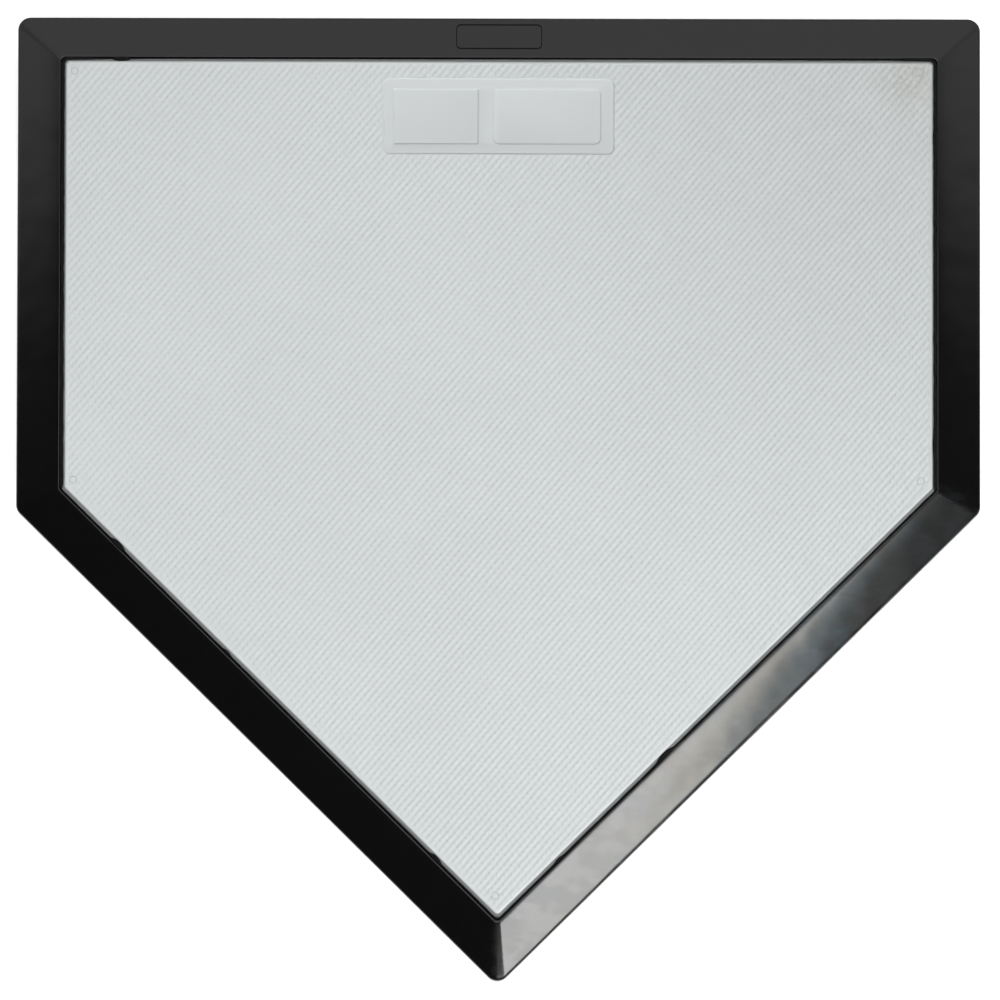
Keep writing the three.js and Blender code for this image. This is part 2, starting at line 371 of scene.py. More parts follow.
blackLook = {
    "deep": (0.0024, 0.0024, 0.0025),
    # the pale film that comes out of black rubber, and painted reflection, as this colour lies only on the
    # bevel that mirrors the key lamp
    "bloomAndReflection": (0.052, 0.066, 0.074), "rustAndReflection": (0.062, 0.056, 0.049), "tintScale": 34.0,
    "cloudScale": 72.0, "wispScale": 70.0, "wispStretch": 2.4, "wispTurn": 0.7,
    "bloomAndReflectionFrom": -6.0, "bloomAndReflectionTo": 6.0, "bloomAndReflectionLevels": (48.0, 52.0), "leastBloomAndReflection": 0.02,
    "thinEnds": ((215.0, 150.0), (30.0, 85.0)), "thin": 0.3,  # across the plate, from thin to thick
    "skinRoughness": 0.1, "roughness": 0.2, "hazeLow": 0.285, "hazeHigh": 0.72, "hazeLevel": 0.25,
    "waveScale": 45.0, "waveStrength": 0.12, "waveDepth": 1.2,
    "grainScale": 1500.0, "grainStrength": 0.04, "grainDepth": 0.1,
}


def makeBlackRubber(look):
    material, tree, shader, place = newMaterial("black rubber")
    cloud = addNoise(tree, place, look["cloudScale"], 2.0, 0.5, 0.3)
    slanted = stretch(tree, place, (1.0, look["wispStretch"], 1.0), turn=(0, 0, look["wispTurn"]))
    wisp = addNoise(tree, slanted, look["wispScale"], 2.0, 0.5, 0.8)
    filmAndReflection = addMath(tree, "MULTIPLY", addRange(tree, cloud, 0.36, 0.64, 0.2, 1.0),
                   addRange(tree, wisp, 0.32, 0.68, 0.3, 1.0))
    # the film and the painted reflection lie on the bevel of the right slanted side, between its two mitres
    points, normals = outlineCorners()
    slant, straight = [plate["walls"].index(name) for name in ("right_slant", "right")]
    beyond = normals[slant] - normals[straight]
    mitre = addVector(tree, "DOT_PRODUCT", place, (*beyond, 0.0))
    mitre = addMath(tree, "SUBTRACT", mitre, points[straight] @ beyond * mm)
    right, _, height = addNode(tree, "ShaderNodeSeparateXYZ", {0: place}).outputs
    side = addRange(tree, height, *(mm * level for level in look["bloomAndReflectionLevels"]))
    for run in (mitre, right):
        inside = addRange(tree, run, look["bloomAndReflectionFrom"] * mm, look["bloomAndReflectionTo"] * mm)
        side = addMath(tree, "MULTIPLY", side, inside)
    share = addMath(tree, "MULTIPLY", filmAndReflection, addRange(tree, side, 0.0, 1.0, look["leastBloomAndReflection"], 1.0))
    for thin, thick in look["thinEnds"]:
        fading = addRange(tree, right, thin * mm, thick * mm, look["thin"], 1.0)
        share = addMath(tree, "MULTIPLY", share, fading)
    # partly film, partly painted reflection of the key lamp, in the bevel's colour
    patch = addRange(tree, addNoise(tree, place, look["tintScale"], 3.0), 0.42, 0.62)
    tint = addMix(tree, patch, look["bloomAndReflection"], look["rustAndReflection"])
    haze = addRange(tree, filmAndReflection, 0.1, 0.9, look["hazeLow"], look["hazeHigh"])
    haze = addMath(tree, "MULTIPLY", side, addMath(tree, "SUBTRACT", haze, look["roughness"]))
    normal = None
    for mark, detail in (("wave", 1.0), ("grain", 2.0)):
        bumps = addNoise(tree, place, look[mark + "Scale"], detail)
        normal = addBump(tree, bumps, look, mark, normal)
    setInputs(tree, shader, {
        "Base Color": addMix(tree, share, look["deep"], tint),
        "Roughness": addMath(tree, "ADD", haze, look["roughness"]),
        "Specular IOR Level": look["hazeLevel"],
        "Coat Weight": 1.0, "Coat Roughness": look["skinRoughness"],
        "Normal": normal, "Coat Normal": normal,
    })
    return material


pineLook = {
    "early": (0.56, 0.43, 0.23), "late": (0.33, 0.20, 0.085), "treated": (0.36, 0.37, 0.17),
    "ringPitch": 5.2, "ringStretch": 0.07, "ringDistortion": 9.0, "fibreScale": 900.0, "fibreStretch": 0.02,
    "roughness": 0.665, "spread": 0.115, "grainStrength": 0.25, "grainDepth": 0.3,
}


def makePine(look, number):
    # each board is sawn from another place in the log, at another angle
    material, tree, shader, place = newMaterial(f"pine board {number}")
    cutAt = (0.031 * number, 0.05 * number, 0.045 + 0.009 * (number % 3))
    cutTurn = (0.02 * (number % 2), 0.03, 0.015 * number)
    log = stretch(tree, place, (1.0, look["ringStretch"], 1.0), cutAt, cutTurn)
    wander = addNoise(tree, log, 9.0, 3.0)
    ring = addNode(tree, "ShaderNodeTexWave", {
        "Vector": log, "Scale": math.tau / (look["ringPitch"] * mm) / 20,  # the node turns 20 radians a unit
        "Distortion": look["ringDistortion"], "Detail": 3.0, "Detail Scale": 0.7,
    }, wave_type="RINGS", rings_direction="Y", wave_profile="SAW").outputs["Fac"]
    fibres = stretch(tree, place, (1.0, look["fibreStretch"], 1.0))
    fibre = addNoise(tree, fibres, look["fibreScale"], 3.0, 0.6)
    wood = addMix(tree, addRange(tree, ring, 0.3, 0.95, 0.0, 0.85), look["early"], look["late"])
    wood = addMix(tree, addRange(tree, fibre, 0.45, 0.75, 0.0, 0.4), wood, look["late"])
    wood = addMix(tree, addRange(tree, wander, 0.35, 0.7, 0.1, 0.55), wood, look["treated"])
    setInputs(tree, shader, {
        "Base Color": wood, "Roughness": addRoughness(tree, fibre, look),
        "Normal": addBump(tree, addMath(tree, "ADD", ring, fibre), look),
    })
    return material


seamLook = {
    # squeezed out at the seam, so it never touched the polished mould
    "first": (0.0025, 0.0026, 0.0028), "second": (0.009, 0.0092, 0.0095), "shades": (0.4, 0.7),
    "roughness": 0.62, "spread": 0.1, "level": 0.18, "metallic": 0.0,
    "cloud": (420.0, 3.0, 0.6), "grain": (420.0, 3.0, 0.6), "grainStrength": 0.4, "grainDepth": 0.3,
}
zincLook = {
    "first": (0.72, 0.74, 0.75), "second": (0.50, 0.52, 0.53), "shades": (0.35, 0.7),
    "roughness": 0.35, "spread": 0.11, "level": 0.5, "metallic": 1.0,
    "cloud": (320.0, 4.0, 0.6), "grain": (2600.0, 2.0, 0.5), "grainStrength": 0.12, "grainDepth": 0.1,
}


def makeClouded(name, look):
    material, tree, shader, place = newMaterial(name)
    cloud, grain = [addNoise(tree, place, *look[mark]) for mark in ("cloud", "grain")]
    setInputs(tree, shader, {
        "Base Color": addMix(tree, addRange(tree, cloud, *look["shades"]), look["first"], look["second"]),
        "Roughness": addRoughness(tree, cloud, look), "Specular IOR Level": look["level"],
        "Metallic": look["metallic"], "Normal": addBump(tree, grain, look),
    })
    return material


whiteRubber = makeWhiteRubber(whiteLook)
blackRubber = makeBlackRubber(blackLook)
seamRubber = makeClouded("seam rubber", seamLook)
zinc = makeClouded("zinc plate", zincLook)
print("finishes made")


# White top: a slab with a flange, a knurled field, a sunken panel and mould marks

whiteTop = {
    "flangeOffset": 7.9, "flangeRadius": 4.0, "flangeTop": 54.4, "underside": 38.1,
    "wallLean": 1.6, "wallHeight": 2.6, "edgeRadius": 1.0, "cornerRadius": 2.0,
    "cornerSteps": 10, "edgeSteps": 6, "smoothAngle": 30,
}
panel = {
    "width": 115.4, "depth": 39.0, "setback": 8.3, "sink": 0.6, "radius": 3.2,
    "windowSink": 0.6, "windowDepth": 28.7, "leftMargin": 4.7, "rightMargin": 6.6,
    "leftWidth": 43.0, "leftRadius": 1.0, "rightWidth": 54.2, "rightRadius": 3.0,
    "wallRun": 0.8, "wallSteps": 6, "cornerSteps": 8,
}
knurl = {
    "stepOne": (1.662, -2.556), "stepTwo": (1.975, 2.327),  # from one diamond to its neighbours
    "columns": 214, "rows": 210, "topAcross": 0.2, "topAlong": 0.72,
    # deeper towards the right
    "leastHeight": 0.175, "mostHeight": 0.285, "deepens": (0.93, -0.37), "deepReach": 200.0,
    "inset": 1.25, "cornerRadius": 1.6, "clearance": 0.03, "bodyDepth": 0.8, "margin": 3.0,
    "overlap": 1.0, "tolerance": 0.01,
}
marks = {
    "places": ((-211.6, 214.4), (209.8, 214.4), (-211.6, 7.0), (210.3, 7.0), (-1.0, -202.8)),
    "radius": 2.2, "ring": 0.6, "clearance": 0.1, "depth": 0.4, "rise": 0.3, "tolerance": 0.05, "sides": 24,
}


def makePanelLines():
    left = -panel["width"] / 2
    bottom = plate["shift"] + plate["side"] - panel["setback"] - panel["depth"]
    windowBottom = bottom + (panel["depth"] - panel["windowDepth"]) / 2
    leftWindow = left + panel["leftMargin"]
    rightWindow = -left - panel["rightMargin"] - panel["rightWidth"]
    return [roundedRectangle(*corner, *size, radius, panel["cornerSteps"]) for corner, size, radius in (
        ((left, bottom), (panel["width"], panel["depth"]), panel["radius"]),
        ((leftWindow, windowBottom), (panel["leftWidth"], panel["windowDepth"]), panel["leftRadius"]),
        ((rightWindow, windowBottom), (panel["rightWidth"], panel["windowDepth"]), panel["rightRadius"]),
    )]


def sinkRings(line, top, depth):
    # the wall falls in a soft S from the outline at the top to a smaller one at the floor
    low, high = line.min(axis=0), line.max(axis=0)
    centre, half = (low + high) / 2, (high - low) / 2
    rings = []
    for t in np.linspace(0, 1, panel["wallSteps"] + 1):
        fall = 1 - t * t * (3 - 2 * t)
        shrink = panel["wallRun"] * (1 - t)
        rings.append(atHeight(centre + (line - centre) * (half - shrink) / half, top - depth * fall))
    rings.append(atHeight(line, top + whiteTop["edgeRadius"]))
    return skinRings(rings, False)


def makeKnurlTree():
    tree, feed = newTree("diamond knurl", {
        "Field": "Geometry", "Step One": "Vector", "Step Two": "Vector", "Columns": "Int", "Rows": "Int",
        "Top Level": "Float", "Least Height": "Float", "Most Height": "Float", "Deepens": "Vector",
        "Top Across": "Float", "Top Along": "Float", "Body Depth": "Float", "Margin": "Float",
        "Material": "Material",
    })
    grid = addOut(tree, "GeometryNodeMeshGrid", {
        "Size X": feed["Columns"], "Vertices X": addMath(tree, "ADD", feed["Columns"], 1.0),
        "Size Y": feed["Rows"], "Vertices Y": addMath(tree, "ADD", feed["Rows"], 1.0),
    })
    position = addOut(tree, "GeometryNodeInputPosition")
    column, row, _ = addNode(tree, "ShaderNodeSeparateXYZ", {0: position}).outputs
    run = addVector(tree, "DOT_PRODUCT", position, feed["Deepens"])
    height = addRange(tree, run, -1.0, 1.0, feed["Least Height"], feed["Most Height"], "LINEAR")
    flat = addVector(tree, "ADD", addVector(tree, "MULTIPLY", feed["Step One"], column),
                     addVector(tree, "MULTIPLY", feed["Step Two"], row))
    sheet = addOut(tree, "GeometryNodeSetPosition", {"Geometry": grid, "Position": flat})
    away = addNode(tree, "GeometryNodeProximity", {"Geometry": feed["Field"]}, target_element="FACES")
    outside = addOut(tree, "FunctionNodeCompare", {0: away.outputs["Distance"], 1: feed["Margin"]},
                     operation="GREATER_THAN")
    sheet = addOut(tree, "GeometryNodeDeleteGeometry", {"Geometry": sheet, "Selection": outside},
                   domain="FACE")
    foot = addMath(tree, "SUBTRACT", feed["Top Level"], height)
    lift = addOut(tree, "ShaderNodeCombineXYZ", {"Z": addMath(tree, "SUBTRACT", foot, feed["Body Depth"])})
    sheet = addOut(tree, "GeometryNodeSetPosition", {"Geometry": sheet, "Offset": lift})
    up = (0.0, 0.0, 1.0)
    body = addNode(tree, "GeometryNodeExtrudeMesh", {
        "Mesh": sheet, "Offset": up, "Offset Scale": feed["Body Depth"], "Individual": False,
    }, mode="FACES").outputs
    under = addOut(tree, "GeometryNodeFlipFaces", {"Mesh": sheet})
    joined = addNode(tree, "GeometryNodeJoinGeometry")
    tree.links.new(under, joined.inputs[0])
    tree.links.new(body["Mesh"], joined.inputs[0])
    closed = addOut(tree, "GeometryNodeMergeByDistance", {"Geometry": joined.outputs[0], "Distance": 1e-6})
    raised = addNode(tree, "GeometryNodeExtrudeMesh", {
        "Mesh": closed, "Selection": body["Top"], "Offset": up, "Offset Scale": height, "Individual": True,
    }, mode="FACES").outputs
    # the tops are long in the line of the second step, so the lines that way stand out
    square = addVector(tree, "CROSS_PRODUCT", feed["Step Two"], up)
    shape = raised["Mesh"]
    for share, axis in (("Top Across", square), ("Top Along", feed["Step Two"])):
        shape = addOut(tree, "GeometryNodeScaleElements", {
            "Geometry": shape, "Selection": raised["Top"], "Scale": feed[share], "Axis": axis,
        }, domain="FACE", scale_mode="SINGLE_AXIS")
    endTree(tree, shape, feed["Material"])
    return tree


def makeKnurlCutter(panelLine):
    # the room above the diamonds, inside the field
    inner = outline(-knurl["inset"], knurl["cornerRadius"], whiteTop["cornerSteps"])
    level = plate["topLevel"] - knurl["clearance"]
    low = level - knurl["mostHeight"] - knurl["bodyDepth"] / 2
    high = plate["topLevel"] + whiteTop["edgeRadius"]
    body = newPiece("knurl body", *skinRings([atHeight(inner, 0.0)] * 2, False))
    growBy(body, makeKnurlTree(), {
        "Step One": (*(mm * s for s in knurl["stepOne"]), 0.0),
        "Step Two": (*(mm * s for s in knurl["stepTwo"]), 0.0),
        "Columns": knurl["columns"], "Rows": knurl["rows"], "Top Level": level * mm,
        "Least Height": knurl["leastHeight"] * mm, "Most Height": knurl["mostHeight"] * mm,
        "Deepens": (*(s / (knurl["deepReach"] * mm) for s in knurl["deepens"]), 0.0),
        "Top Across": knurl["topAcross"], "Top Along": knurl["topAlong"],
        "Body Depth": knurl["bodyDepth"] * mm, "Margin": knurl["margin"] * mm, "Material": whiteRubber,
    })
    print("knurl:", len(body.data.polygons), "faces")
    field = newPiece("knurl field", *prism(inner, low, high))
    bare = [panelLine] + [disc(*place, marks["radius"], marks["sides"])
                          for place in marks["places"]]
    islands = [prism(line, low - knurl["overlap"], high + knurl["overlap"]) for line in bare]
    carve(field, newPiece("bare islands", *joinShapes(islands)))
    return carve(field, body)


def makeWhiteTop():
    edge = (-whiteTop["edgeRadius"], plate["topLevel"] - whiteTop["edgeRadius"])
    corner, flange = whiteTop["cornerRadius"], whiteTop["flangeRadius"]
    sections = [
        (whiteTop["flangeOffset"], whiteTop["underside"], flange),
        (whiteTop["flangeOffset"], whiteTop["flangeTop"], flange),
        (whiteTop["wallLean"], whiteTop["flangeTop"], corner),
        (whiteTop["wallLean"], plate["topLevel"] - whiteTop["wallHeight"], corner),
        *roundEdge(edge, whiteTop["edgeRadius"], 0, math.pi / 2, corner, whiteTop["edgeSteps"]),
    ]
    piece = newPiece("white_top_rubber", *skinOutline(sections, False, whiteTop["cornerSteps"]), whiteRubber)
    panelLine, *windows = makePanelLines()
    carve(piece, makeKnurlCutter(panelLine))
    carve(piece, newPiece("panel", *sinkRings(panelLine, plate["topLevel"], panel["sink"])))
    floor = plate["topLevel"] - panel["sink"]
    shapes = [sinkRings(line, floor, panel["windowSink"]) for line in windows]
    carve(piece, newPiece("windows", *joinShapes(shapes)))
    low, high = plate["topLevel"] - marks["depth"], plate["topLevel"] + marks["rise"]
    rings = []
    for place in marks["places"]:
        outer, inner = [disc(*place, marks["radius"] - less, marks["sides"])
                        for less in (marks["clearance"], marks["ring"])]
        rings.append(skinRings([atHeight(inner, low), atHeight(outer, high), atHeight(inner, high)], True))
    carve(piece, newPiece("mark rings", *joinShapes(rings)))
    return markReach(shadeKnurl(smoothBy(piece, whiteTop["smoothAngle"])))


def shadeKnurl(piece):
    # the diamonds keep flat faces, all other faces are smooth
    mesh = piece.data
    centres = readPlaces(mesh.polygons, "center")
    depth = -wallReach(centres[:, :2]).max(axis=0)
    level = plate["topLevel"] - centres[:, 2]
    deepest = knurl["mostHeight"] + 2 * knurl["clearance"]
    isFlat = (depth > knurl["inset"] - knurl["tolerance"]) & (level > knurl["tolerance"]) & (level < deepest)
    isSmooth = np.empty(len(mesh.polygons), dtype=bool)
    mesh.polygons.foreach_get("use_smooth", isSmooth)
    mesh.polygons.foreach_set("use_smooth", isSmooth & ~isFlat)
    return piece


def reachOutside(places):
    # how far places lie outside the face's outline with its rounded corners
    points, normals = outlineCorners()
    reach = wallReach(places).max(axis=0)
    ahead = np.stack([-normals[:, 1], normals[:, 0]], axis=1)
    radius = whiteTop["cornerRadius"]
    for i, point in enumerate(points):
        before, after = normals[i - 1], normals[i]
        spoke = places - point + (before + after) / (1 + before @ after) * radius
        isCorner = (spoke @ ahead[i - 1] > 0) & (spoke @ ahead[i] < 0)
        reach = np.where(isCorner, np.linalg.norm(spoke, axis=1) - radius, reach)
    return reach


def markReach(piece):
    # each point's reach in millimetres, and whether it is in a mould mark
    places, heights = np.split(readPlaces(piece.data.vertices, "co"), [2], axis=1)
    away = np.min([np.linalg.norm(places - place, axis=1) for place in marks["places"]], axis=0)
    isDeep = plate["topLevel"] - heights[:, 0] > marks["depth"] - marks["tolerance"]
    writeValues(piece.data, "reach", reachOutside(places))
    writeValues(piece.data, "mark", (away < marks["radius"]) & isDeep)
    return piece


whiteTopPiece = makeWhiteTop()
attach(whiteTopPiece, "root")
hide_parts("white_top")
print("white top:", len(whiteTopPiece.data.polygons), "faces")


# Black surround: skirt, rim, bevel and lip, with counterbores and an engraved outline

surround = {
    "lipOffset": 1.9, "lipDrop": 2.8, "lipThickness": 6.0, "lipRadius": 1.1, "lipCorner": 2.4,
    "bevelDrop": 7.0, "rimHeight": 7.0, "rimRadius": 1.5, "rimCorner": 6.5,
    "overhang": 8.0, "fillet": 2.0, "skirtThickness": 8.0, "skirtLean": 1.0, "skirtFoot": 1.0,
    "skirtCorner": 5.0, "hollowCorner": 4.0,
    "crown": ((0.55, 4), (0.1, 16)),  # degrees at the rim, and a power: the higher, the nearer to the lip
    "crownSteps": 18, "cornerSteps": 14, "edgeSteps": 7, "smoothAngle": 30,
}
engraving = {
    "width": 42.4, "depth": 13.8, "radius": 2.2, "middle": 13.9, "sink": -0.16,
    "groove": 0.42, "sideGroove": 0.25, "blend": (0.3, 0.7),  # finer at its sides
    "sides": 8, "steps": 6,
}
bore = {"diameter": 20.5, "floor": 5.0, "reach": 16.0, "holeDiameter": 5.4, "sides": 40}
washer = {
    "diameter": 19.0, "hole": 5.4, "thickness": 1.4, "seat": 5.3, "edge": 0.3,
    "sides": 48, "smoothAngle": 50, "seed": 9,
}


def bevelProfile():
    lipLevel = plate["topLevel"] - surround["lipDrop"]
    rimTop = lipLevel - surround["bevelDrop"]
    lipCentre = np.array([surround["lipOffset"] + surround["lipRadius"], lipLevel - surround["lipRadius"]])
    rimCentre = np.array([plate["border"] - surround["rimRadius"], rimTop - surround["rimRadius"]])
    fall = lipCentre - rimCentre
    facing = math.atan2(fall[1], fall[0]) - math.pi / 2
    # the bevel is crowned, most of all near the lip
    crown = [(math.radians(degrees), power) for degrees, power in surround["crown"]]
    steeper = sum(angle for angle, power in crown)
    flatter = sum(angle * (power - 1) for angle, power in crown)
    steps = surround["edgeSteps"]
    rim = roundEdge(rimCentre, surround["rimRadius"], 0, facing - steeper, surround["rimCorner"], steps)
    lip = roundEdge(lipCentre, surround["lipRadius"], facing + flatter, math.pi, surround["lipCorner"],
                    steps)
    start, end = np.array(rim[-1]), np.array(lip[0])
    length = np.linalg.norm((end - start)[:2])
    bevel = []
    for t in np.linspace(0, 1, surround["crownSteps"] + 1)[1:-1]:
        offset, height, corner = start + (end - start) * t
        out = length * sum(angle * (t - t ** power) for angle, power in crown)
        bevel.append((offset + out * math.cos(facing), height + out * math.sin(facing), corner))
    return rim, bevel, lip, facing, lipLevel, rimTop


def makeSurround():
    rim, bevel, lip, facing, lipLevel, rimTop = bevelProfile()
    skirtOffset = plate["border"] - surround["overhang"]
    hollowOffset = skirtOffset - surround["skirtThickness"]
    underRim = rimTop - surround["rimHeight"]
    underLip = lipLevel - surround["lipThickness"]
    steps = surround["edgeSteps"]
    fillet = (skirtOffset + surround["fillet"], underRim - surround["fillet"])
    lowRim = (plate["border"] - surround["rimRadius"], underRim + surround["rimRadius"])
    foot, skirtCorner = surround["skirtFoot"], surround["skirtCorner"]
    hollowCorner = surround["hollowCorner"]
    sections = [
        (skirtOffset - surround["skirtLean"], foot, skirtCorner),
        *roundEdge(fillet, surround["fillet"], math.pi, math.pi / 2, skirtCorner, steps),
        *roundEdge(lowRim, surround["rimRadius"], -math.pi / 2, 0, surround["rimCorner"], steps),
        *rim, *bevel, *lip,
        (surround["lipOffset"], underLip, surround["lipCorner"]),
        (hollowOffset, underLip, hollowCorner),
        (hollowOffset, 0.0, hollowCorner),
        (skirtOffset - surround["skirtLean"] - foot, 0.0, skirtCorner),
    ]
    shape = skinOutline(sections, True, surround["cornerSteps"])
    piece = newPiece("black_surround_rubber", *shape, blackRubber)
    carve(piece, makeBores(bore["diameter"], bore["floor"]))
    carve(piece, makeBores(bore["holeDiameter"], -surround["skirtThickness"]))
    carve(piece, makeEngraving(bevel, facing), "TRANSFER")
    return smoothBy(piece, surround["smoothAngle"])


def makeEngraving(bevel, facing):
    # a thin round groove on a rounded rectangle that lies in the front bevel
    profile = np.array(sorted(bevel))
    front = plate["shift"] + plate["side"]
    half = engraving["depth"] * math.sin(facing) / 2
    corner = (-engraving["width"] / 2, engraving["middle"] - half)
    line = roundedRectangle(*corner, engraving["width"], 2 * half, engraving["radius"], engraving["steps"])
    heights = np.interp(line[:, 1], profile[:, 0], profile[:, 1])
    up = np.array([0, math.cos(facing), math.sin(facing)])
    path = np.column_stack([line[:, 0], front + line[:, 1], heights]) + up * engraving["sink"]
    ahead = np.roll(path, -1, axis=0) - np.roll(path, 1, axis=0)
    ahead /= np.linalg.norm(ahead, axis=1, keepdims=True)
    side = np.cross(ahead, up)
    side /= np.linalg.norm(side, axis=1, keepdims=True)
    sizes = np.interp(np.abs(ahead[:, :1]), engraving["blend"],
                      (engraving["sideGroove"], engraving["groove"]))
    rings = [path + sizes * (math.cos(angle) * side + math.sin(angle) * up)
             for angle in np.linspace(0, 2 * math.pi, engraving["sides"], endpoint=False)]
    return newPiece("engraving", *skinRings(rings, True), seamRubber)


def fastenerSites():
    # where each screw's axis leaves the skirt, and the way out
    wallNormals = dict(zip(plate["walls"], outlineCorners()[1]))
    sites = []
    for node in sorted(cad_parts):
        if "_washer_" in node:
            low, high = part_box(node)
            out = np.array([*wallNormals[node.split("_washer_")[0]], 0.0])
            middle = np.array((low + high) / 2) / mm
            sites.append((middle - out * (washer["seat"] + washer["thickness"] / 2), out))
    return sites


def makeBores(diameter, floor):
    ring = disc(0, 0, diameter / 2, bore["sides"])
    shapes = []
    for wall, out in fastenerSites():
        side = np.array([-out[1], out[0], 0.0])
        shapes.append(skinRings([wall + out * reach + ring[:, :1] * side + ring[:, 1:] * (0, 0, 1)
                                 for reach in (floor, bore["reach"])], False))
    return faceOutwards(newPiece("bores", *joinShapes(shapes)))


def faceOutwards(piece):
    shape = bmesh.new()
    shape.from_mesh(piece.data)
    bmesh.ops.remove_doubles(shape, verts=shape.verts, dist=1e-7)
    bmesh.ops.recalc_face_normals(shape, faces=shape.faces)
    shape.to_mesh(piece.data)
    shape.free()
    return piece


surroundPiece = makeSurround()
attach(surroundPiece, "root")
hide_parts("black_surround")
print("black surround:", len(surroundPiece.data.polygons), "faces")


# Screws and washers in the skirt

screw = {
    "seat": 7.0, "length": 38.0, "point": 6.0, "tip": 0.1, "plainLength": 1.0, "collar": 0.4,
    "crest": 2.4, "root": 1.75, "pitch": 2.4, "ridge": 0.24, "ringsPerTurn": 6, "sides": 20,
    # pan head: its rounding is a share of its height
    "headDiameter": 9.4, "headHeight": 3.3, "headEdge": 0.25, "headSide": 0.3, "headRounding": 0.62,
    "headTurn": 80, "headSteps": 8, "headFlat": 0.4,
    "crossWidth": 1.3, "crossReach": 2.6, "crossDepth": 1.9, "crossRises": (0.01, 1.0),
    "endTaper": 0.35, "sideTaper": 0.7,
    "smoothAngle": 35, "seed": 4,
}


def latheRings(profile, sides):
    # profile rows are radius, height and the share of the thread in the radius
    angles = np.linspace(0, 2 * math.pi, sides, endpoint=False)
    rings = []
    for radius, height, thread in profile:
        turn = (height / screw["pitch"] - angles / (2 * math.pi)) % 1.0
        ridge = np.clip(1 - np.abs(turn - 0.5) / screw["ridge"], 0, 1)
        around = radius + thread * (screw["crest"] - screw["root"]) * ridge
        rings.append(atHeight(np.column_stack([around * np.cos(angles), around * np.sin(angles)]), height))
    return rings


def makeScrew():
    head, height, edge = screw["headDiameter"] / 2, screw["headHeight"], screw["headEdge"]
    tip, crest, plain = screw["tip"], screw["crest"], screw["plainLength"]
    profile = []
    for low in np.arange(-screw["length"], -plain, screw["pitch"] / screw["ringsPerTurn"]):
        share = min(1.0, (low + screw["length"]) / screw["point"])
        runOut = min(1.0, (-plain - low) / screw["pitch"])
        profile.append((tip + (screw["root"] - tip) * share, low, share * runOut))
    profile += [(crest, -screw["collar"], 0), (crest, 0, 0), (head - edge, 0, 0), (head, edge, 0)]
    for angle in np.radians(np.linspace(0, screw["headTurn"], screw["headSteps"])):
        inward = height * screw["headRounding"] * (1 - math.cos(angle))
        rise = screw["headSide"] + (1 - screw["headSide"]) * math.sin(angle)
        profile.append((head - inward, height * rise, 0))
    profile.append((screw["headFlat"], height, 0))
    piece = newPiece("screw", *skinRings(latheRings(profile, screw["sides"]), False))
    wide, reach = screw["crossWidth"] / 2, screw["crossReach"]
    for along, across in ((reach, wide), (wide, reach)):
        corners = np.array([(along, across), (-along, across), (-along, -across), (along, -across)])
        taper = np.where(np.abs(corners) > wide, screw["endTaper"], screw["sideTaper"])
        rings = [atHeight(corners * taper, height - screw["crossDepth"])]
        rings += [atHeight(corners, height + rise) for rise in screw["crossRises"]]
        carve(piece, newPiece("cross slot", *skinRings(rings, False)))
    return smoothBy(piece, screw["smoothAngle"])


def makeWasher():
    hole, rim, thick, edge = washer["hole"] / 2, washer["diameter"] / 2, washer["thickness"], washer["edge"]
    half = [(hole, edge), (hole + edge, 0), (rim - edge, 0), (rim, edge)]
    profile = [(radius, height, 0) for radius, height in half]
    profile += [(radius, thick - height, 0) for radius, height in half[::-1]]
    piece = newPiece("washer", *skinRings(latheRings(profile, washer["sides"]), True))
    return smoothBy(piece, washer["smoothAngle"])


def makeFastenerTree():
    tree, feed = newTree("driven fasteners", {
        "Sites": "Geometry", "Fastener": "Object", "Seed": "Int", "Material": "Material"})
    out = addOut(tree, "GeometryNodeInputNamedAttribute", {"Name": "out"}, data_type="FLOAT_VECTOR")
    aim = addOut(tree, "FunctionNodeAlignRotationToVector", {"Vector": out}, axis="Z")
    turn = addNode(tree, "FunctionNodeRandomValue", {2: 0.0, 3: math.tau, "Seed": feed["Seed"]}).outputs[1]
    spin = addOut(tree, "FunctionNodeAxisAngleToRotation", {"Axis": (0.0, 0.0, 1.0), "Angle": turn})
    aim = addOut(tree, "FunctionNodeRotateRotation", {"Rotation": aim, "Rotate By": spin},
                 rotation_space="LOCAL")
    shape = addNode(tree, "GeometryNodeObjectInfo", {"Object": feed["Fastener"], "As Instance": True})
    placed = addOut(tree, "GeometryNodeInstanceOnPoints", {
        "Points": feed["Sites"], "Instance": shape.outputs["Geometry"], "Rotation": aim})
    endTree(tree, placed, feed["Material"])
    return tree


fastenerTree = makeFastenerTree()


def driveFasteners(name, shape, fastener, kind):
    sites = fastenerSites()
    piece = newPiece(name, [wall + out * fastener["seat"] for wall, out in sites], [])
    aims = piece.data.attributes.new("out", "FLOAT_VECTOR", "POINT")
    aims.data.foreach_set("vector", np.concatenate([out for wall, out in sites]))
    growBy(piece, fastenerTree, {"Fastener": shape, "Seed": fastener["seed"], "Material": zinc})
    dropPiece(shape)
    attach(piece, "root")
    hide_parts(*[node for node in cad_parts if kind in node])
    print(name + ":", len(piece.data.polygons), "faces")


driveFasteners("skirt_screws", makeScrew(), screw, "_screw_")
driveFasteners("skirt_washers", makeWasher(), washer, "_washer_")


# Seam flash: black rubber that crept up the white wall in the mould

